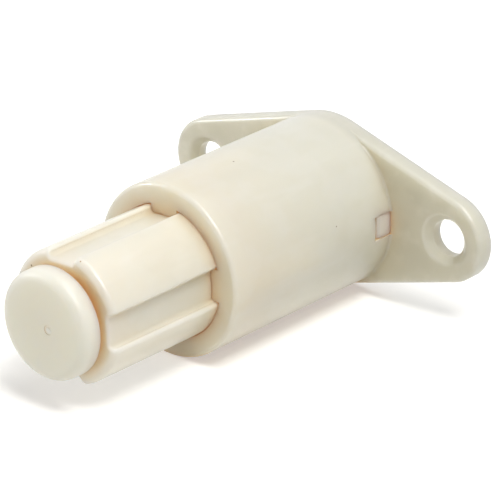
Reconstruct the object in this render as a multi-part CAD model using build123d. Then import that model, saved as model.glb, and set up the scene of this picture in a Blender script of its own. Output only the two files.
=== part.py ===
"""Push-to-open drawer latch: a round barrel on a two-screw flange, with a sprung plunger.

Each push turns a small index ring one step round a grooved post, so the plunger
is held in after one push and springs out after the next.

The latch's axis is Y. Its origin is in the middle of the flange's back face, the
face that goes against the cabinet. The barrel and plunger point along -Y, the two
screw holes lie along X, and Z is up. "Depth" is the distance in front of the
flange's back face, so a depth of 28 is at y = -28. Sizes are in millimetres.
"""

import os
from math import asin, cos, hypot, radians, sin, tan

from build123d import *

# Barrel, the round body that sticks out from the flange
barrel_diameter = 20.0
barrel_length = 28.0
barrel_wall = 1.4
barrel_rim_round = 0.5
mouth_thickness = 2.0
barrel_turn = 2.5  # degrees from the line of the screw holes and windows to the first key

# Flange with a rounded ear at each end
flange_thickness = 2.0
flange_edge_round = 0.5
junction_round = 0.3  # where the barrel rises from the flange
ear_radius = 5.0
screw_spacing = 35.0
screw_hole_diameter = 4.3
countersink_diameter = 6.0
countersink_angle = 90.0
countersink_rim_round = 0.6

# Plunger, with four channels that run along the keys of the barrel's mouth
plunger_diameter = 15.2
plunger_reach = 16.0  # from the mouth to the front of the plunger when it is out
plunger_front_round = 0.8
plunger_edge_round = 0.35  # along each channel's outer edges and front end
stroke = 14.0
channel_count = 4
channel_width = 3.85
channel_depth = 1.2
channel_corner = 0.5
key_back_depth = 14.0
foot_length = 3.5

# Button head on the front of the plunger
head_diameter = 12.4
head_thickness = 2.4
head_edge_round = 1.15
gate_diameter = 1.1  # ring-shaped mark that the moulding gate left on the head
gate_width = 0.3
gate_depth = 0.08
gate_offset = 0.9
neck_diameter = 8.0
neck_length = 0.9
stem_diameter = 6.0
bead_lip = 0.3  # how far the bead stands out from the stem
bead_length = 0.8

# Back cap, with the grooved post and two snap arms
cap_thickness = 1.8
post_core_diameter = 3.8
post_tip = 1.6
arm_width = 2.7
arm_inner_radius = 7.0
arm_slit = 0.6
arm_slit_depth = 2.4
lug_length = 2.1
lug_ramp = 0.3
lug_recess = 0.1

# Windows in the barrel's wall, where the snap lugs show
window_length = 2.75

# Index ring and the groove that its two nubs follow
nub_count = 2
nub_diameter = 1.6
nub_reach = 0.75
ring_wall = 0.65
ring_thickness = 3.0
step_angle = 45.0  # the ring's turn for each leg of the groove
latch_back_off = 2.0  # how far the plunger comes forward to its held place
corner_relief = 0.05  # extra room for a nub at each corner of the groove

# Retaining washer and return spring
washer_thickness = 0.8
spring_bore_depth = 5.5
spring_wire = 0.7
spring_mean_diameter = 9.9
spring_closed_turns = 1
spring_active_turns = 4

# Clearances
mouth_clearance = 0.08  # plunger in the mouth, on the radius and on each key's side
slide_clearance = 0.15  # plunger's feet and the cap in the barrel's bore
turn_clearance = 0.1  # index ring in its pocket
post_clearance = 0.15  # index ring on the post
groove_clearance = 0.15
press_clearance = 0.02
snap_clearance = 0.05
washer_clearance = 0.1
spring_seat_gap = 0.03
spring_post_room = 0.4  # between the spring and the post
spring_bore_room = 0.3  # between the spring and its bore in the plunger
bottom_gap = 0.7  # between the plunger and the cap at full stroke
tip_gap = 0.3  # between the post and the head's stem at full stroke

# For the modelling itself
past = 1.0  # how far a cut runs on past the surface that it opens
tolerance = 0.001  # for telling which edges lie at a depth or radius

# Radii and depths that follow from the sizes above
barrel_radius = barrel_diameter / 2
bore_radius = barrel_radius - barrel_wall
plunger_radius = plunger_diameter / 2
mouth_back_depth = barrel_length - mouth_thickness
mouth_radius = plunger_radius + mouth_clearance
channel_floor = plunger_radius - channel_depth
key_inner = channel_floor + mouth_clearance
key_width = channel_width - 2 * mouth_clearance
key_corner = channel_corner - mouth_clearance
window_width = arm_width + 2 * snap_clearance
foot_radius = bore_radius - slide_clearance
plunger_front_depth = barrel_length + plunger_reach
plunger_back_depth = cap_thickness + bottom_gap + stroke
washer_front_depth = plunger_back_depth + spring_bore_depth
washer_back_depth = washer_front_depth - washer_thickness
ring_back_depth = washer_front_depth + turn_clearance
ring_pocket_depth = ring_back_depth + ring_thickness + turn_clearance
post_diameter = spring_mean_diameter - spring_wire - 2 * spring_post_room
spring_bore_diameter = spring_mean_diameter + spring_wire + 2 * spring_bore_room
ring_bore = post_diameter + 2 * post_clearance
ring_diameter = ring_bore + 2 * ring_wall
ring_pocket_diameter = ring_diameter + 2 * turn_clearance
nub_depth = ring_back_depth + ring_thickness / 2
post_front_depth = nub_depth + post_tip
post_bore = post_diameter + 2 * post_clearance + 2 * slide_clearance
stem_back_depth = post_front_depth + stroke + tip_gap
bore_front_depth = stem_back_depth + bead_length
bead_diameter = stem_diameter + 2 * bead_lip
head_back_depth = plunger_front_depth + neck_length
head_front_depth = head_back_depth + head_thickness
nub_tip_radius = ring_bore / 2 - nub_reach - post_clearance
groove_floor = nub_tip_radius - groove_clearance
groove_width = nub_diameter + 2 * groove_clearance
cut_inner = groove_floor - past  # the groove's cutters reach from here
cut_outer = post_diameter / 2 + past  # out to here


def at(depth):
    """Drawing plane across the axis at a depth, facing forward, with X and Z on it."""
    return Plane.XZ.offset(depth)


def rod(diameter, back, front):
    """Round bar on the axis between two depths."""
    return extrude(at(back) * Circle(diameter / 2), front - back)


def bar(inner, outer, width, back, front, angle=0):
    """Rectangular bar that stands out from the axis, between two radii, at an angle."""
    section = Location((0, 0, 0), (0, 0, angle)) * Pos((inner + outer) / 2, 0) * Rectangle(
        outer - inner, width
    )
    return extrude(at(back) * section, front - back)


def around(count):
    """Evenly spaced angles of a full turn."""
    return [360 * index / count for index in range(count)]


def turned(shape):
    """The shape, turned about the axis by the angle at which the barrel sits."""
    return Rot(0, -barrel_turn, 0) * shape


def edges_at(shape, depth):
    """Edges that lie wholly in the plane at a depth."""
    return shape.edges().filter_by_position(Axis.Y, -depth - tolerance, -depth + tolerance)


def flange_outline():
    """Barrel's circle and the two ears, joined by straight flanks that touch all three."""
    ear = screw_spacing / 2
    lean = asin((barrel_radius - ear_radius) / ear)
    ear_point = (ear + ear_radius * sin(lean), ear_radius * cos(lean))
    barrel_point = (barrel_radius * sin(lean), barrel_radius * cos(lean))
    right = [ear_point, barrel_point]
    left = [(-x, z) for x, z in reversed(right)]
    top = right + left
    flanks = Polygon(*top, *[(x, -z) for x, z in reversed(top)], align=None)
    return Circle(barrel_radius) + flanks + Pos(ear, 0) * Circle(ear_radius) + Pos(
        -ear, 0
    ) * Circle(ear_radius)


def make_flange():
    """Flange plate with a soft front edge and two countersunk holes with soft rims."""
    plate = extrude(at(0) * flange_outline(), flange_thickness)
    plate = fillet(edges_at(plate, flange_thickness), flange_edge_round)
    sink_depth = (countersink_diameter - screw_hole_diameter) / 2 / tan(
        radians(countersink_angle / 2)
    )
    for side in (1, -1):
        place = Pos(side * screw_spacing / 2, 0)
        plate -= extrude(at(0) * place * Circle(screw_hole_diameter / 2), flange_thickness)
        rim = at(flange_thickness) * place * Circle(countersink_diameter / 2)
        root = at(flange_thickness - sink_depth) * place * Circle(screw_hole_diameter / 2)
        plate -= loft([root, rim])
    rims = [
        edge
        for edge in edges_at(plate, flange_thickness).filter_by(GeomType.CIRCLE)
        if abs(edge.radius - countersink_diameter / 2) < tolerance
    ]
    return fillet(rims, countersink_rim_round)


def make_junction():
    """Small hollow round between the barrel and the flange's flat front."""
    corner = Pos(barrel_radius, flange_thickness) * Rectangle(
        junction_round, junction_round, align=(Align.MIN, Align.MIN)
    )
    hollow = Pos(barrel_radius + junction_round, flange_thickness + junction_round) * Circle(
        junction_round
    )
    section = Plane(origin=(0, 0, 0), x_dir=(1, 0, 0), z_dir=(0, 0, -1)) * (corner - hollow)
    ring = revolve(section, Axis.Y)
    flat = offset(flange_outline(), -flange_edge_round)
    return ring & extrude(at(flange_thickness) * flat, junction_round)


def make_housing():
    """Barrel and flange in one moulding, with keys in the mouth and two windows."""
    barrel = rod(barrel_diameter, 0, barrel_length)
    barrel = fillet(edges_at(barrel, barrel_length), barrel_rim_round)
    body = barrel + make_flange() + make_junction()
    body -= rod(2 * bore_radius, 0, mouth_back_depth)
    body -= rod(2 * mouth_radius, mouth_back_depth, barrel_length)
    inside = rod(2 * bore_radius + barrel_wall, 0, barrel_length)
    section = Pos(key_inner, 0) * Rectangle(
        barrel_radius - key_inner, key_width, align=(Align.MIN, Align.CENTER)
    )
    section = fillet(section.vertices().sort_by(Axis.X)[:2], key_corner)
    for angle in around(channel_count):
        key = extrude(
            at(key_back_depth) * Rot(0, 0, angle) * section, barrel_length - key_back_depth
        )
        body += turned(key & inside)
    window_front = flange_thickness + window_length
    for angle in (0, 180):
        body -= bar(
            key_inner, barrel_radius + past, window_width, flange_thickness, window_front, angle
        )
    return body


def groove_leg(first, second):
    """Slot for the post along a straight slant between two (angle, depth) points."""
    (angle, depth), (end_angle, end_depth) = sorted((first, second), key=lambda point: point[1])
    rise = end_depth - depth
    turn = end_angle - angle
    path = Helix(rise * 360 / abs(turn), rise, (cut_inner + cut_outer) / 2, lefthand=turn < 0)
    profile = Plane(path @ 0, x_dir=(1, 0, 0), z_dir=path % 0) * Rectangle(
        cut_outer - cut_inner, groove_width
    )
    return at(depth) * Rot(0, 0, angle) * sweep(profile, path, is_frenet=True)


def groove_turn(angle, depth):
    """Round pocket where two legs of the groove meet, a little wider than the legs."""
    circle = Circle(groove_width / 2 + corner_relief)
    pocket = extrude(
        Plane((cut_inner, 0, 0), x_dir=(0, 1, 0), z_dir=(1, 0, 0)) * circle, cut_outer - cut_inner
    )
    return at(depth) * Rot(0, 0, angle) * pocket


def make_post():
    """Round post with a zigzag groove: in, back to the held notch, in again, and out.

    The plunger's nubs start at the front. A push takes them down the first leg, letting
    go takes them up the short second leg to the notch, and so on, always turning the
    same way. Half a turn brings the plunger out again, so the pattern repeats twice.
    """
    deep = nub_depth - stroke
    held = deep + latch_back_off
    stops = [(0, nub_depth), (1, deep), (2, held), (3, deep), (4, nub_depth)]
    sleeve = rod(post_diameter, cap_thickness, post_front_depth)
    sleeve -= rod(2 * groove_floor, cap_thickness, post_front_depth)
    for start in around(nub_count):
        points = [(start + step * step_angle, depth) for step, depth in stops]
        for first, second in zip(points, points[1:]):
            sleeve -= groove_turn(*first)
            sleeve -= groove_leg(first, second)
        front = post_front_depth + past
        sleeve -= bar(cut_inner, cut_outer, groove_width, nub_depth, front, start)
    return rod(2 * groove_floor, cap_thickness, post_front_depth) + sleeve


def make_back_cap():
    """Cap that closes the barrel's back, with the grooved post and two snap arms."""
    cap_radius = bore_radius - slide_clearance
    cap = rod(2 * cap_radius, 0, cap_thickness) + turned(make_post())
    cap -= rod(post_core_diameter, cap_thickness, post_front_depth)
    lug_back = flange_thickness + press_clearance
    lug_front = lug_back + lug_length
    lug_radius = barrel_radius - lug_recess
    blank = rod(2 * cap_radius, 0, lug_front)
    for angle in (0, 180):
        for side in (1, -1):
            offset = side * (arm_width + arm_slit) / 2
            slit = Pos(cap_radius - arm_slit_depth / 2, offset) * Rectangle(
                arm_slit_depth, arm_slit
            )
            cap -= extrude(at(0) * Rot(0, 0, angle) * slit, cap_thickness)
        arm = bar(arm_inner_radius, barrel_radius, arm_width, 0, lug_front, angle) & blank
        lug = bar(arm_inner_radius, barrel_radius, arm_width, lug_back, lug_front, angle)
        lug &= rod(2 * lug_radius, lug_back, lug_front)
        front_edges = edges_at(lug, lug_front).sort_by_distance((0, -lug_front, 0))
        lug = chamfer(front_edges[-1], lug_ramp)
        cap += arm + lug
    return cap


def make_plunger():
    """Hollow plunger: four channels outside, stepped bore inside, and feet at the back."""
    body = rod(plunger_diameter, plunger_back_depth, plunger_front_depth)
    body = fillet(edges_at(body, plunger_front_depth), plunger_front_round)
    feet = rod(2 * foot_radius, mouth_back_depth - foot_length, mouth_back_depth)
    channel = Pos(channel_floor, 0) * Rectangle(
        barrel_radius, channel_width, align=(Align.MIN, Align.CENTER)
    )
    channel = fillet(channel.vertices().sort_by(Axis.X)[:2], channel_corner)
    for angle in around(channel_count):
        cutter = extrude(
            at(plunger_back_depth) * Rot(0, 0, angle) * channel,
            plunger_front_depth - plunger_back_depth,
        )
        body -= cutter
        feet -= cutter
    long_edges = [
        edge
        for edge in body.edges().filter_by(Axis.Y)
        if abs(hypot(edge.center().X, edge.center().Z) - plunger_radius) < tolerance
    ]
    body = fillet(long_edges, plunger_edge_round) + feet
    body -= rod(spring_bore_diameter, plunger_back_depth, washer_front_depth)
    body -= rod(ring_pocket_diameter, washer_front_depth, ring_pocket_depth)
    body -= rod(post_bore, ring_pocket_depth, bore_front_depth)
    body -= rod(stem_diameter + 2 * press_clearance, bore_front_depth, plunger_front_depth)
    return turned(body)


def make_plunger_head():
    """Button head on a neck, with a stem that snaps through the plunger's front wall."""
    head = rod(head_diameter, head_back_depth, head_front_depth)
    head = fillet(edges_at(head, head_front_depth), head_edge_round)
    gate = Circle(gate_diameter / 2) - Circle(gate_diameter / 2 - gate_width)
    head -= extrude(at(head_front_depth - gate_depth) * Pos(gate_offset, 0) * gate, gate_depth)
    head += rod(neck_diameter, plunger_front_depth, head_back_depth)
    head += rod(stem_diameter, stem_back_depth, plunger_front_depth)
    head += rod(bead_diameter, stem_back_depth, bore_front_depth - snap_clearance)
    return head


def make_index_ring():
    """Ring that turns inside the plunger, with two nubs that run in the post's groove."""
    ring = rod(ring_diameter, ring_back_depth, ring_back_depth + ring_thickness)
    for angle in around(nub_count):
        peg = Plane((nub_tip_radius, 0, 0), x_dir=(0, 1, 0), z_dir=(1, 0, 0)) * Circle(
            nub_diameter / 2
        )
        nub = extrude(peg, (ring_bore + ring_diameter) / 4 - nub_tip_radius)
        if angle == 0:
            ring -= rod(ring_bore, ring_back_depth, ring_back_depth + ring_thickness)
        ring += at(nub_depth) * Rot(0, 0, angle) * nub
    return turned(ring)


def make_retaining_washer():
    """Washer that keeps the index ring in its pocket and takes the spring's push."""
    outer = spring_bore_diameter - 2 * washer_clearance
    washer = rod(outer, washer_back_depth, washer_front_depth)
    return washer - rod(post_bore, washer_back_depth, washer_front_depth)


def coil(turns, pitch, start_depth):
    """Length of spring wire that starts at a depth and climbs forward."""
    path = Helix(pitch, turns * pitch, spring_mean_diameter / 2)
    section = Plane.XZ * Pos(spring_mean_diameter / 2, 0) * Circle(spring_wire / 2)
    return at(start_depth) * sweep(section, path, is_frenet=True)


def make_return_spring():
    """Compression spring round the post, with one closed turn at each end."""
    start = cap_thickness + spring_wire / 2 + spring_seat_gap
    end = washer_back_depth - spring_wire / 2 - spring_seat_gap
    closed_pitch = spring_wire + spring_seat_gap
    closed_length = spring_closed_turns * closed_pitch
    active_length = end - start - 2 * closed_length
    spring = coil(spring_closed_turns, closed_pitch, start)
    spring += coil(spring_active_turns, active_length / spring_active_turns, start + closed_length)
    spring += coil(spring_closed_turns, closed_pitch, end - closed_length)
    return spring


pieces = {
    "housing": make_housing(),
    "back_cap": make_back_cap(),
    "plunger": make_plunger(),
    "plunger_head": make_plunger_head(),
    "index_ring": make_index_ring(),
    "retaining_washer": make_retaining_washer(),
    "return_spring": make_return_spring(),
}

os.makedirs("parts", exist_ok=True)
for name, piece in pieces.items():
    export_step(piece, f"parts/{name}.step")
    print(name, "solids", len(piece.solids()), "volume", round(piece.volume, 2))
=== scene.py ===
# %% [markdown]
# # A drawer latch, dressed for the studio
# This latch is screwed inside a cabinet. A push on its button holds the drawer, and the next push
# springs it open. Its measured parts come from CAD, where their shapes are already right.
# Here they get their materials, the return spring that has to flatten with the stroke,
# and a studio with the camera where the photographer stood.

import math

import bpy
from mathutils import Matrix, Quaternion, Vector


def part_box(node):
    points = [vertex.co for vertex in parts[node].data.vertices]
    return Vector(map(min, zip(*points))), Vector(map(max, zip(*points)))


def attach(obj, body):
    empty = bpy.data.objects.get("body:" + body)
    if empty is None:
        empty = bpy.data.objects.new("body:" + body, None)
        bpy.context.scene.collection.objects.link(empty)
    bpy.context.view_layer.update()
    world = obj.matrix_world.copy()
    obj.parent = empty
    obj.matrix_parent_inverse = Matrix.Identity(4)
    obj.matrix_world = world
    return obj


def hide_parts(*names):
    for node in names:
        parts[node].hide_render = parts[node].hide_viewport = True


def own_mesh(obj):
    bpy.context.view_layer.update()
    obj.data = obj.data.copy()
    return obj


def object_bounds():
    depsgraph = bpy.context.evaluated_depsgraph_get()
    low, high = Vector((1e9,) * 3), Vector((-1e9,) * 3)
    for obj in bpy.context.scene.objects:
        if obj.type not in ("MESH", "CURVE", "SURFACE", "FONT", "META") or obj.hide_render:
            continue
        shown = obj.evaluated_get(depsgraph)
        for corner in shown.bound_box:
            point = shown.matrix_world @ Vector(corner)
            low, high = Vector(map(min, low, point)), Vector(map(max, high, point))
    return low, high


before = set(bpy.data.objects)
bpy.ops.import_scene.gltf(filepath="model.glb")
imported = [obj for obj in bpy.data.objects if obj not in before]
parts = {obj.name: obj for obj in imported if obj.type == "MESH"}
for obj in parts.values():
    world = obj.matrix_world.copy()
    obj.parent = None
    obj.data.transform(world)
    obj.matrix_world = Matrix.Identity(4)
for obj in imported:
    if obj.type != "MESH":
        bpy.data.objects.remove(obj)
cad_low, cad_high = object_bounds()
print("parts:", ", ".join(sorted(parts)))
print("size in metres:", [round(value, 4) for value in cad_high - cad_low])

# %% [markdown]
# Blender counts in metres and a latch is a few centimetres long, so sizes are easier to read in
# millimetres. One small function does the deselecting that every operator needs first: the parts
# come in selected, and an operator would act on all of them.

# %% Units and a clean selection
MM = 0.001


def start_clean():
    """Leaves edit mode and deselects everything, so the next operator acts on one thing."""
    if bpy.context.object and bpy.context.object.mode != "OBJECT":
        bpy.ops.object.mode_set(mode="OBJECT")
    bpy.ops.object.select_all(action="DESELECT")


start_clean()
print("selected now:", len(bpy.context.selected_objects))

# %% [markdown]
# ## The camera
# The photograph was taken from the front right and a little above, from about forty centimetres,
# with a long lens, so parallel edges hardly draw together. The camera is placed by two angles and
# a distance from the point it looks at. A camera looks along its own minus Z, so its Z axis points
# back from the subject to the lens.

# %% Camera at the photographer's place
VIEW_AZIMUTH = math.radians(41.66)
VIEW_ELEVATION = math.radians(23.79)
VIEW_ROLL = math.radians(-0.33)
VIEW_DISTANCE = 424.1 * MM
VIEW_CENTRE = Vector((-5.51, -8.27, -5.70)) * MM
LENS_MM = 269.7
SENSOR_MM = 36.0
NEAREST_SEEN = 10 * MM


def direction(azimuth, elevation):
    """Unit vector that points from the latch towards an azimuth and elevation in radians."""
    level = math.cos(elevation)
    return Vector((math.sin(azimuth) * level, -math.cos(azimuth) * level, math.sin(elevation)))


towards_camera = direction(VIEW_AZIMUTH, VIEW_ELEVATION)
camera_turn = towards_camera.to_track_quat("Z", "Y") @ Quaternion((0, 0, 1), VIEW_ROLL)
start_clean()
bpy.ops.object.camera_add(
    location=VIEW_CENTRE + towards_camera * VIEW_DISTANCE,
    rotation=camera_turn.to_euler(),
)
camera = bpy.context.object
camera.name = "camera"
camera.data.lens = LENS_MM
camera.data.sensor_width = SENSOR_MM
camera.data.clip_start = NEAREST_SEEN
bpy.context.scene.camera = camera
print("camera at", [round(value, 3) for value in camera.location])

# %% [markdown]
# ## Colours and nodes
# Colours are written as the sRGB hex values that a picture editor shows. Blender's shaders add up
# light, so they need the same colours in linear form, and one function converts them with the
# numbers of the sRGB standard.
# Every material is a small tree of nodes, and one function adds a node with its options and inputs.
# An input is either a plain value or the output of an earlier node, which it then links. The Mix
# node has sockets for each kind of value, so the ones for colours are picked by their number.

# %% Colour and node helpers
SRGB_KNEE = 0.04045
SRGB_SLOPE = 12.92
SRGB_OFFSET = 0.055
SRGB_POWER = 2.4
BRIGHTEST = 255
MIX_FACTOR = 0
MIX_A = 6
MIX_B = 7
MIX_RESULT = 2


def linear(hex_colour):
    """Turns an sRGB hex colour into linear red, green, blue and alpha."""
    channels = []
    for start in (0, 2, 4):
        value = int(hex_colour[start : start + 2], 16) / BRIGHTEST
        low = value / SRGB_SLOPE
        high = ((value + SRGB_OFFSET) / (1 + SRGB_OFFSET)) ** SRGB_POWER
        channels.append(low if value <= SRGB_KNEE else high)
    return (*channels, 1.0)


def add_node(material, kind, options=None, inputs=None):
    """Adds a node, sets its options, and fills its inputs with values or links."""
    tree = material.node_tree
    node = tree.nodes.new(kind)
    for name, value in (options or {}).items():
        setattr(node, name, value)
    for name, value in (inputs or {}).items():
        if isinstance(value, bpy.types.NodeSocket):
            tree.links.new(value, node.inputs[name])
        else:
            node.inputs[name].default_value = value
    return node


def empty_material(name):
    """A material with nodes and nothing in it yet."""
    material = bpy.data.materials.new(name)
    material.use_nodes = True
    material.node_tree.nodes.clear()
    return material


def blend_colours(material, share, first, second):
    """Colour output that goes from first to second as share goes from 0 to 1."""
    mix = add_node(
        material,
        "ShaderNodeMix",
        {"data_type": "RGBA"},
        {MIX_FACTOR: share, MIX_A: first, MIX_B: second},
    )
    return mix.outputs[MIX_RESULT]


def show_surface(material, shader):
    """Links a shader to the material's output."""
    add_node(material, "ShaderNodeOutputMaterial", {}, {"Surface": shader})


print("ivory in linear light:", [round(value, 3) for value in linear("EAE4D2")[:3]])

# %% [markdown]
# ## Moulded nylon
# The barrel, plunger, button and back cap are injection-moulded nylon in ivory. Light goes a few
# millimetres into nylon and comes out beside the place where it went in, so shadows are soft and
# thin walls look lit from inside. The surface comes from a polished steel mould: a broad soft
# shine under a thin gloss that shows as short glints.
#
# Four things keep it from looking like paint: a colour that drifts along the part, pale flow
# marks that run from the gate, a faint mottle, and dust specks. On the housing the drift is painted
# shade, darker and greyer towards the flange. A picture could hold them, but it would have to be
# wrapped round every piece. Noise needs no wrapping: it fills space with values around a half, most
# of them from 0.3 to 0.7, in patches of a size in millimetres, and a smooth spread picks out the
# values that are wanted.

# %% Noise and spreads
SOFT_DETAIL = 2.0
NOISE_LOW = 0.3
NOISE_HIGH = 0.7


def object_place(material):
    """Coordinates of a surface point in metres, as they are in the CAD frame."""
    return add_node(material, "ShaderNodeTexCoord").outputs["Object"]


def noise(material, place, size, detail=SOFT_DETAIL):
    """Noise output, 0 to 1, whose patches are about size metres wide."""
    node = add_node(
        material,
        "ShaderNodeTexNoise",
        {},
        {"Vector": place, "Scale": 1 / size, "Detail": detail},
    )
    return node.outputs["Fac"]


def spread(material, value, low, high, to_low=0.0, to_high=1.0):
    """Maps the values low to high onto to_low to to_high, smoothly and without overshoot."""
    node = add_node(
        material,
        "ShaderNodeMapRange",
        {"interpolation_type": "SMOOTHSTEP"},
        {"Value": value, "From Min": low, "From Max": high, "To Min": to_low, "To Max": to_high},
    )
    return node.outputs["Result"]


# %% [markdown]
# ### The colour's drift, flow marks and mottle
# The front and rear of a piece have their own tints, and the colour drifts between them along Y.
# On the housing this drift and a third tint on its flange are painted shade, darker and greyer
# where less light reaches. The flow marks are noise in patches that are stretched along Y, and the
# mottle is noise in round patches. Both bring in the piece's pale tint.

# %% Drift, mottle and flow marks
# Depths in front of the flange's back face over which the housing's painted flange shade comes in.
FLANGE_FRONT = 3.2 * MM
FLANGE_BACK = 1.6 * MM
MOTTLE_SIZE = 5.0 * MM
MOTTLE_LOW = 0.38
MOTTLE_HIGH = 0.64
MOTTLE_STRENGTH = 0.2
FLOW_WIDTH = 2.2 * MM
FLOW_STRETCH = 0.16
FLOW_LOW = 0.52
FLOW_HIGH = 0.78
FLOW_STRENGTH = 0.3


def drift(material, place, front, rear, front_depth, rear_depth):
    """Colour that changes along Y from the front of the piece to its rear."""
    along = add_node(material, "ShaderNodeSeparateXYZ", {}, {"Vector": place}).outputs["Y"]
    share = spread(material, along, -front_depth, -rear_depth)
    return blend_colours(material, share, front, rear)


def tint_with_painted_drift(material, place, front, rear, depths, painted_flange_shade, pale):
    """Colour that drifts along Y with mottle and flow marks; on the housing the drift and flange
    tint are painted shade.
    """
    front_depth, rear_depth = depths
    colour = drift(material, place, linear(front), linear(rear), front_depth * MM, rear_depth * MM)
    # The flange tint is painted shade on the housing's flange.
    if painted_flange_shade:
        colour = drift(material, place, colour, linear(painted_flange_shade), FLANGE_FRONT, FLANGE_BACK)

    mottle = spread(material, noise(material, place, MOTTLE_SIZE), MOTTLE_LOW, MOTTLE_HIGH)
    mottle = spread(material, mottle, 0.0, 1.0, 0.0, MOTTLE_STRENGTH)
    colour = blend_colours(material, mottle, colour, linear(pale))

    along_flow = add_node(
        material,
        "ShaderNodeMapping",
        {},
        {"Vector": place, "Scale": (1.0, FLOW_STRETCH, 1.0)},
    ).outputs["Vector"]
    flow = noise(material, along_flow, FLOW_WIDTH)
    flow = spread(material, flow, FLOW_LOW, FLOW_HIGH, 0.0, FLOW_STRENGTH)
    return blend_colours(material, flow, colour, linear(pale))


print("mottle", MOTTLE_SIZE / MM, "mm, flow marks", FLOW_WIDTH / MM, "mm wide")

# %% [markdown]
# ### Shade and gaps
# The Ambient Occlusion node measures how closed in a point is. Asked about the point's own piece,
# it finds the hollows, where the colour takes a painted shade, and their deep parts, as in the
# screw holes, where the painted shade is brown. It is then asked twice at a short reach, once about
# everything and once about the own piece alone. The two answers divided tell where another piece
# stands close by. There the colour takes a warm painted shade, orange brown deep in a gap, with a
# faint painted glow in place of the light that has come through the wall.

# %% How closed in a point is
SHADE_REACH = 7.0 * MM
GAP_REACH = 2.5 * MM
OPENNESS_SAMPLES = 8


def openness(material, reach, own_piece_only):
    """1 on an open surface, towards 0 in a gap or corner that is narrower than reach."""
    node = add_node(
        material,
        "ShaderNodeAmbientOcclusion",
        {"samples": OPENNESS_SAMPLES, "only_local": own_piece_only},
        {"Distance": reach},
    )
    return node.outputs["AO"]


def alone(material):
    """1 on an open surface, towards 0 where another piece stands close by."""
    share = add_node(
        material,
        "ShaderNodeMath",
        {"operation": "DIVIDE"},
        {
            0: openness(material, GAP_REACH, own_piece_only=False),
            1: openness(material, GAP_REACH, own_piece_only=True),
        },
    )
    return share.outputs["Value"]


# %% Painted shade of hollows and gaps
SHADE_LOW = 0.1
SHADE_HIGH = 0.9
DEEP_LOW = 0.2
DEEP_HIGH = 0.57
# The brown painted shade deep in a piece's own hollows, as in the screw holes.
DEEP_PAINTED_SHADE = linear("A08A68")
BESIDE_SHADE_LOW = 0.3
BESIDE_SHADE_HIGH = 1.0
GAP_HIGH = 0.4
# The orange brown painted shade deep in a gap beside another piece.
GAP_PAINTED_SHADE = linear("EFC894")


def shaded_tint(material, colour, shade):
    """The colour with painted shade: warmer in the piece's own hollows and brown where they are
    deep.
    """
    shaded = openness(material, SHADE_REACH, own_piece_only=True)
    lit = spread(material, shaded, SHADE_LOW, SHADE_HIGH)
    colour = blend_colours(material, lit, linear(shade), colour)
    shallow = spread(material, shaded, DEEP_LOW, DEEP_HIGH)
    return blend_colours(material, shallow, DEEP_PAINTED_SHADE, colour)


def with_painted_gap_shade(material, colour, free, painted_beside_shade):
    """The colour with painted shade: warmer beside another piece and orange brown deep in the gap
    to it.
    """
    # Painted shade: a warm tint where another piece stands close by.
    apart = spread(material, free, BESIDE_SHADE_LOW, BESIDE_SHADE_HIGH)
    colour = blend_colours(material, apart, linear(painted_beside_shade), colour)
    outside = spread(material, free, 0.0, GAP_HIGH)
    return blend_colours(material, outside, GAP_PAINTED_SHADE, colour)


print("shade reaches", SHADE_REACH / MM, "mm, shelter", GAP_REACH / MM, "mm")

# %% [markdown]
# ### Small marks
# A mark is a small ball of another tint about one point of the frame. It shows where the ball
# meets the surface: a speck of dust in the plastic, or the pale spot where the gate was cut off.

# %% Specks and spots
SPECK_CORE = 0.4


def speck(material, place, colour, spot, radius, tint):
    """Adds one small mark of that radius and tint at a spot given in millimetres."""
    away = add_node(
        material,
        "ShaderNodeVectorMath",
        {"operation": "DISTANCE"},
        {0: place, 1: Vector(spot) * MM},
    ).outputs["Value"]
    share = spread(material, away, radius * SPECK_CORE, radius, 1.0, 0.0)
    return blend_colours(material, share, colour, linear(tint))


# %% [markdown]
# ### Relief of the surface
# A mould leaves edges about a tenth of a millimetre round, so they catch a thin line of light.
# The Bevel node rounds the shading there and leaves the measured shape alone. On top of that come
# the long shallow waves of a wall that shrank as it cooled, and the grain of the polished mould.
# The real grain is finer than the picture can show, so it is drawn a third of a millimetre wide.

# %% Edges, waves and grain
EDGE_ROUND = 0.08 * MM
EDGE_SAMPLES = 6
WAVE_SIZE = 3.5 * MM
WAVE_HEIGHT = 0.02 * MM
WAVE_DETAIL = 1.0
GRAIN_SIZE = 0.35 * MM
GRAIN_HEIGHT = 0.006 * MM
GRAIN_DETAIL = 3.0


def raised(material, normal, height, distance):
    """A normal that is tilted by a pattern of that height in metres."""
    bump = add_node(
        material,
        "ShaderNodeBump",
        {},
        {"Height": height, "Distance": distance, "Normal": normal},
    )
    return bump.outputs["Normal"]


def moulded_relief(material, place, grain, edge_round):
    """Normal of a moulded surface with rounded edges, long waves and a fine grain."""
    edge = add_node(
        material,
        "ShaderNodeBevel",
        {"samples": EDGE_SAMPLES},
        {"Radius": edge_round},
    )
    wave = noise(material, place, WAVE_SIZE, WAVE_DETAIL)
    waved = raised(material, edge.outputs["Normal"], wave, WAVE_HEIGHT)
    return raised(material, waved, grain, GRAIN_HEIGHT)


print("grain", GRAIN_SIZE / MM, "mm wide and", GRAIN_HEIGHT / MM, "mm high")

# %% [markdown]
# ### The whole nylon
# One function joins the pattern functions into a material, because the four pieces differ only in
# their tints, gloss, marks and edges. The Principled shader's subsurface part does the soft light,
# red going a little deeper than blue, and its coat is the thin gloss. Its emission is a faint
# painted glow deep in the gaps. The grain also makes the roughness swing a little about its middle
# value.

# %% Nylon as a material
NYLON_IOR = 1.53
NYLON_ROUGHNESS = 0.36
ROUGHNESS_SWING = 0.05
NYLON_GLOSS_ROUGHNESS = 0.1
NYLON_DEPTH = 3.2 * MM
NYLON_RED_GREEN_BLUE_DEPTH = (1.0, 0.94, 0.88)
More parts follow.
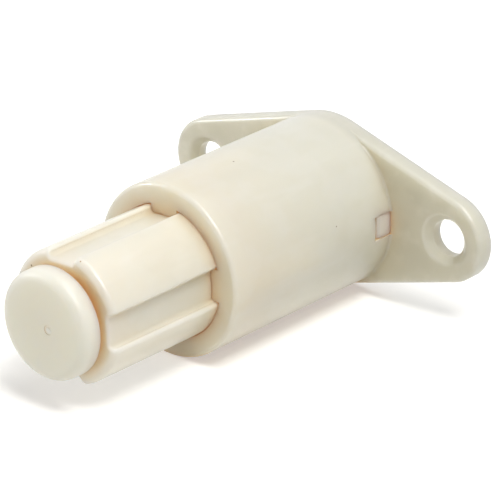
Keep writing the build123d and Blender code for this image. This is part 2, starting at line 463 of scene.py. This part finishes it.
# Tint and strength of the painted glow deep in the gaps.
PAINTED_GLOW_TINT = linear("B87830")
GLOW_HIGH = 0.2
GLOW_STRENGTH = 0.1


def moulded_nylon(
    name,
    front,
    rear,
    depths,
    pale,
    shade,
    painted_beside_shade,
    roughness,
    gloss,
    marks=(),
    painted_flange_shade=None,
    edge_round=EDGE_ROUND,
):
    """Injection-moulded nylon with its tints, painted shade and glow, marks, gloss and edges."""
    material = empty_material(name)
    place = object_place(material)
    free = alone(material)
    colour = tint_with_painted_drift(material, place, front, rear, depths, painted_flange_shade, pale)
    # Painted shade in the piece's own hollows.
    colour = shaded_tint(material, colour, shade)
    # Painted shade beside other pieces, orange brown deep in the gaps.
    colour = with_painted_gap_shade(material, colour, free, painted_beside_shade)
    for spot, radius, tint in marks:
        colour = speck(material, place, colour, spot, radius * MM, tint)

    grain = noise(material, place, GRAIN_SIZE, GRAIN_DETAIL)
    smoothest = roughness - ROUGHNESS_SWING
    roughest = roughness + ROUGHNESS_SWING
    surface = add_node(
        material,
        "ShaderNodeBsdfPrincipled",
        {},
        {
            "Base Color": colour,
            "Roughness": spread(material, grain, NOISE_LOW, NOISE_HIGH, smoothest, roughest),
            "IOR": NYLON_IOR,
            "Normal": moulded_relief(material, place, grain, edge_round),
            "Subsurface Weight": 1.0,
            "Subsurface Radius": NYLON_RED_GREEN_BLUE_DEPTH,
            "Subsurface Scale": NYLON_DEPTH,
            "Coat Weight": gloss,
            "Coat Roughness": NYLON_GLOSS_ROUGHNESS,
            # The emission is a faint painted glow deep in the gaps, in place of light come through
            # the wall.
            "Emission Color": PAINTED_GLOW_TINT,
            "Emission Strength": spread(material, free, 0.0, GLOW_HIGH, GLOW_STRENGTH, 0.0),
        },
    )
    show_surface(material, surface.outputs["BSDF"])
    return material


def dress(piece, material):
    """Gives a piece one material and tells how many nodes it holds."""
    piece.data.materials.clear()
    piece.data.materials.append(material)
    print(piece.name, "is", material.name, "with", len(material.node_tree.nodes), "nodes")


# %% [markdown]
# ### The housing
# Barrel and flange are one moulding. Its colour is warmest at the mouth and greyer towards the
# flange, and the flange tint is darker still: painted shade for the weaker light there. Three
# specks of dust are in it. A mark is a spot and a radius in millimetres, and a tint. Depths are
# millimetres in front of the flange's back face.

# %% Housing
DUST = "9A8466"
PALE_DUST = "B89C74"
YELLOW_DUST = "A8966E"
HOUSING_MARKS = [
    ((0.93, -18.12, 9.96), 0.14, DUST),
    ((9.69, -11.11, 2.44), 0.11, DUST),
    ((13.8, -2.0, -6.06), 0.1, YELLOW_DUST),
]
dress(
    parts["housing"],
    moulded_nylon(
        "moulded_nylon_ivory_housing",
        # The front, rear and flange tints hold painted shade, darker and greyer towards the flange.
        front="ECE3CD",
        rear="E6E1CE",
        depths=(30.0, 0.0),
        pale="F2EDE0",
        shade="DACEAE",
        painted_beside_shade="F0D2A0",
        roughness=NYLON_ROUGHNESS,
        gloss=0.3,
        marks=HOUSING_MARKS,
        painted_flange_shade="D6D3C2",
    ),
)

# %% [markdown]
# ### The plunger
# The plunger slides on the keys in the barrel's mouth. It is paler than the housing, and the
# edges of its channels are rounder, so they show as soft lines and not as thin ones.

# %% Plunger
PLUNGER_EDGE_ROUND = 0.3 * MM
PLUNGER_MARKS = [
    ((-4.57, -44.0, 4.71), 0.16, DUST),
    ((2.35, -43.66, 7.07), 0.12, PALE_DUST),
]
dress(
    parts["plunger"],
    moulded_nylon(
        "moulded_nylon_ivory_plunger",
        front="F2EAD8",
        rear="EAE3D0",
        depths=(44.0, 28.0),
        pale="F8F2E4",
        shade="DDD0B8",
        painted_beside_shade="F3E2C2",
        roughness=NYLON_ROUGHNESS,
        gloss=0.35,
        marks=PLUNGER_MARKS,
        edge_round=PLUNGER_EDGE_ROUND,
    ),
)

# %% [markdown]
# ### The button
# The button is the piece that the drawer pushes, and its mould is slightly matt: it is rougher
# than the others and has hardly any gloss. It is the palest piece, and the place where its gate
# was cut off is paler still.

# %% Button
BUTTON_ROUGHNESS = 0.45
GATE_TINT = "FCF7EC"
BUTTON_MARKS = [((0.95, -47.3, -0.1), 0.5, GATE_TINT)]
dress(
    parts["plunger_head"],
    moulded_nylon(
        "moulded_nylon_matt_button",
        front="FEF2DF",
        rear="FCF0DE",
        depths=(47.3, 45.0),
        pale="FAF1E4",
        shade="DCCDAA",
        painted_beside_shade="F0DDBA",
        roughness=BUTTON_ROUGHNESS,
        gloss=0.08,
        marks=BUTTON_MARKS,
    ),
)

# %% [markdown]
# ### The back cap
# The back cap comes from another mould: the lug that shows in the barrel's window is a touch
# pinker than the wall about it, and a little shinier.

# %% Back cap
CAP_ROUGHNESS = 0.34
dress(
    parts["back_cap"],
    moulded_nylon(
        "moulded_nylon_back_cap",
        front="F6EEE2",
        rear="E6DFCE",
        depths=(25.0, 0.0),
        pale="EDE5D8",
        shade="CDBFA4",
        painted_beside_shade="F4E9D8",
        roughness=CAP_ROUGHNESS,
        gloss=0.3,
    ),
)

# %% [markdown]
# ### The index ring
# The ring runs in the post's zigzag groove thousands of times, so it is acetal, the slippery
# white plastic of gears and zips. It is whiter than nylon, lets less light in, and has a waxy
# shine with a faint cloudiness.

# %% Acetal for the index ring
ACETAL_IOR = 1.48
ACETAL_CLOUD = 1.5 * MM
ACETAL_CLOUDY = linear("EFEEE8")
ACETAL_CLEAR = linear("FAF9F4")
ACETAL_SMOOTHEST = 0.26
ACETAL_ROUGHEST = 0.34
ACETAL_SCATTER = 0.4
ACETAL_DEPTH = 0.8 * MM
ACETAL_RED_GREEN_BLUE_DEPTH = (1.0, 0.9, 0.8)


def moulded_acetal(name):
    """White acetal with a faint cloudiness."""
    material = empty_material(name)
    cloud = noise(material, object_place(material), ACETAL_CLOUD)
    shine = spread(material, cloud, NOISE_LOW, NOISE_HIGH, ACETAL_SMOOTHEST, ACETAL_ROUGHEST)
    surface = add_node(
        material,
        "ShaderNodeBsdfPrincipled",
        {},
        {
            "Base Color": blend_colours(material, cloud, ACETAL_CLOUDY, ACETAL_CLEAR),
            "Roughness": shine,
            "IOR": ACETAL_IOR,
            "Subsurface Weight": ACETAL_SCATTER,
            "Subsurface Radius": ACETAL_RED_GREEN_BLUE_DEPTH,
            "Subsurface Scale": ACETAL_DEPTH,
        },
    )
    show_surface(material, surface.outputs["BSDF"])
    return material


dress(parts["index_ring"], moulded_acetal("moulded_acetal_white"))

# %% [markdown]
# ### The washer and the spring wire
# The washer is stamped steel with a bright zinc coat, whose crystals show as soft spangles.
# Spring wire is drawn through a die, which leaves fine lines along it. They are far too fine for
# the picture, where they give a grey sheen, so they are drawn as fine patches.
# Both are metals, so the colour is that of their reflections.

# %% Zinc and spring steel
SPANGLE_SIZE = 0.6 * MM
SHEEN_SIZE = 0.05 * MM
METAL_DETAIL = 3.0


def patchy_metal(name, dark, bright, size, smoothest, roughest):
    """Bare or plated metal whose colour and roughness vary in patches of one size."""
    material = empty_material(name)
    patches = noise(material, object_place(material), size, METAL_DETAIL)
    share = spread(material, patches, NOISE_LOW, NOISE_HIGH)
    surface = add_node(
        material,
        "ShaderNodeBsdfPrincipled",
        {},
        {
            "Base Color": blend_colours(material, share, linear(dark), linear(bright)),
            "Metallic": 1.0,
            "Roughness": spread(material, share, 0.0, 1.0, smoothest, roughest),
        },
    )
    show_surface(material, surface.outputs["BSDF"])
    return material


dress(
    parts["retaining_washer"],
    patchy_metal(
        "zinc_plated_steel",
        dark="B4B7BA",
        bright="D6D8DA",
        size=SPANGLE_SIZE,
        smoothest=0.22,
        roughest=0.38,
    ),
)
spring_steel = patchy_metal(
    "drawn_spring_steel",
    dark="7C7F83",
    bright="A6A8AB",
    size=SHEEN_SIZE,
    smoothest=0.28,
    roughest=0.4,
)

# %% [markdown]
# ## The return spring
# The spring is round wire wound about the back cap's post, with one turn at each end closed up
# so that it stands square. The CAD spring can't get shorter when the button is pushed, so it is
# wound again here: a circle the size of the wire is extruded a little way round the coil, many
# times over, each step a turn about the Y axis and a small move forward. The circle is filled,
# and a copy of it stays behind to close the wire's rear end. A Screw modifier is quicker, but it
# gives every turn the same pitch.

# %% Sizes of the spring
WIRE_DIAMETER = 0.7 * MM
WIRE_SIDES = 14
STEPS_PER_TURN = 36
CLOSED_TURNS = 1.0
ALL_TURNS = 6.0
CLOSED_PITCH = 0.73 * MM
OPENING_TURNS = 0.3

spring_low, spring_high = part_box("return_spring")
coil_radius = (spring_high.x - spring_low.x - WIRE_DIAMETER) / 2
coil_length = spring_high.y - spring_low.y - WIRE_DIAMETER
steps = round(ALL_TURNS * STEPS_PER_TURN)
print("coil radius", round(coil_radius / MM, 2), "mm, length", round(coil_length / MM, 2), "mm")


def openness_of_coil(turn):
    """0 in the closed end turns and 1 in the open ones, with a smooth change between."""
    from_end = min(turn, ALL_TURNS - turn) - CLOSED_TURNS
    share = min(max(from_end / OPENING_TURNS, 0.0), 1.0)
    return share * share * (3 - 2 * share)


opened = [openness_of_coil((step + 0.5) / STEPS_PER_TURN) for step in range(steps)]
closed_rise = CLOSED_PITCH / STEPS_PER_TURN
open_rise = (coil_length - closed_rise * steps) / sum(opened)
rises = [closed_rise + open_rise * share for share in opened]
print("pitch of the open turns", round((closed_rise + open_rise) * STEPS_PER_TURN / MM, 2), "mm")

# %% Wind the spring
MERGE_DISTANCE = 0.001 * MM
SMOOTH_ANGLE = math.radians(50)

start_clean()
bpy.ops.mesh.primitive_circle_add(
    vertices=WIRE_SIDES,
    radius=WIRE_DIAMETER / 2,
    location=(coil_radius, spring_high.y - WIRE_DIAMETER / 2, 0),
)
spring = bpy.context.object
spring.name = "coiled_spring"
bpy.ops.object.transform_apply(location=True, rotation=True, scale=True)
bpy.ops.object.mode_set(mode="EDIT")
bpy.ops.mesh.select_all(action="SELECT")
bpy.ops.mesh.edge_face_add()
bpy.ops.mesh.duplicate()
for rise in rises:
    bpy.ops.mesh.extrude_region_move(TRANSFORM_OT_translate={"value": (0, -rise, 0)})
    bpy.ops.transform.rotate(
        value=math.tau / STEPS_PER_TURN,
        orient_axis="Y",
        center_override=(0, 0, 0),
    )
bpy.ops.mesh.select_all(action="SELECT")
bpy.ops.mesh.remove_doubles(threshold=MERGE_DISTANCE)
bpy.ops.mesh.normals_make_consistent(inside=False)
bpy.ops.object.mode_set(mode="OBJECT")
bpy.ops.object.shade_smooth_by_angle(angle=SMOOTH_ANGLE)
print("spring has", len(spring.data.polygons), "faces")

# %% [markdown]
# The spring rides on the barrel's body, because its rear end rests on the back cap. As the button
# goes in, the spring has to give way by the whole stroke.

# %% Dress the spring and hang it on the barrel
dress(spring, spring_steel)
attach(spring, "barrel")
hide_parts("return_spring")
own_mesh(spring)

# %% [markdown]
# ## The studio
# The latch lies on its barrel on a white board. A plain diffuse board would look light grey, so it
# adds a little glow of its own, which shows only to the camera and in reflections. The board turns
# white, the soft shadow on it stays, and the glow doesn't light the latch. The room behind works
# the same way, and fills the shadows only a little.

# %% Light that only shows
def seen_directly(material):
    """1 for camera rays and reflections, and 0 for rays that only gather light."""
    path = add_node(material, "ShaderNodeLightPath")
    both = add_node(
        material,
        "ShaderNodeMath",
        {"operation": "MAXIMUM"},
        {0: path.outputs["Is Camera Ray"], 1: path.outputs["Is Glossy Ray"]},
    )
    every = add_node(
        material,
        "ShaderNodeMath",
        {"operation": "MAXIMUM"},
        {0: both.outputs["Value"], 1: path.outputs["Is Transmission Ray"]},
    )
    return every.outputs["Value"]


# %% White board
BOARD_SIZE = 3.0
BOARD_GAP = 0.02 * MM
BOARD_TINT = linear("EAE9E6")
BOARD_GLOW = 0.43
WHITE = linear("FFFFFF")

board_paint = empty_material("white_board")
glow = add_node(
    board_paint,
    "ShaderNodeMath",
    {"operation": "MULTIPLY"},
    {0: seen_directly(board_paint), 1: BOARD_GLOW},
)
diffuse = add_node(board_paint, "ShaderNodeBsdfDiffuse", {}, {"Color": BOARD_TINT})
emission = add_node(
    board_paint,
    "ShaderNodeEmission",
    {},
    {"Color": WHITE, "Strength": glow.outputs["Value"]},
)
board_surface = add_node(
    board_paint,
    "ShaderNodeAddShader",
    {},
    {0: diffuse.outputs["BSDF"], 1: emission.outputs["Emission"]},
)
show_surface(board_paint, board_surface.outputs["Shader"])

start_clean()
bpy.ops.mesh.primitive_plane_add(size=BOARD_SIZE, location=(0, 0, cad_low.z - BOARD_GAP))
board = bpy.context.object
board.name = "white_board"
bpy.ops.object.transform_apply(location=True)
board.data.materials.append(board_paint)
print("board at", round(board.data.vertices[0].co.z / MM, 2), "mm")

# %% White room
ROOM_LIGHT = 0.03

room = bpy.data.worlds.new("white_room")
room.use_nodes = True
room.node_tree.nodes.clear()
room_strength = spread(room, seen_directly(room), 0.0, 1.0, ROOM_LIGHT, 1.0)
room_light = add_node(
    room,
    "ShaderNodeBackground",
    {},
    {"Color": WHITE, "Strength": room_strength},
)
add_node(room, "ShaderNodeOutputWorld", {}, {"Surface": room_light.outputs["Background"]})
bpy.context.scene.world = room
print("room is", room.name, "with", len(room.node_tree.nodes), "nodes")

# %% [markdown]
# Three soft boxes light the latch, as in the photograph: a strong one above on the right, a weaker
# one above and behind, and a low one in front on the left, whose light the barrel keeps off most
# of the right ear. Each is described by the light that it would throw on a surface that faces it,
# where 1 shows a colour just as it is written. The power in watts follows from that.

# %% Soft boxes
LAMP_DISTANCE = 0.8


def soft_box(name, azimuth, elevation, strength, size):
    """A square area lamp that gives that strength of light at the latch, from that direction."""
    towards_lamp = direction(math.radians(azimuth), math.radians(elevation))
    start_clean()
    bpy.ops.object.light_add(
        type="AREA",
        location=towards_lamp * LAMP_DISTANCE,
        rotation=towards_lamp.to_track_quat("Z", "Y").to_euler(),
    )
    lamp = bpy.context.object
    lamp.name = name
    lamp.data.shape = "SQUARE"
    lamp.data.size = size
    lamp.data.energy = strength * (math.pi * LAMP_DISTANCE) ** 2
    print(name, "gives", round(lamp.data.energy, 2), "W")


soft_box("right_soft_box", azimuth=66, elevation=60, strength=0.72, size=0.3)
soft_box("rear_soft_box", azimuth=165, elevation=68, strength=0.31, size=0.4)
soft_box("left_soft_box", azimuth=298, elevation=21, strength=0.37, size=0.22)

# %% [markdown]
# ## View settings
# Standard shows the colours as they are. The new spring must stay inside the measured size.

# %% View settings
bpy.context.scene.view_settings.view_transform = "Standard"
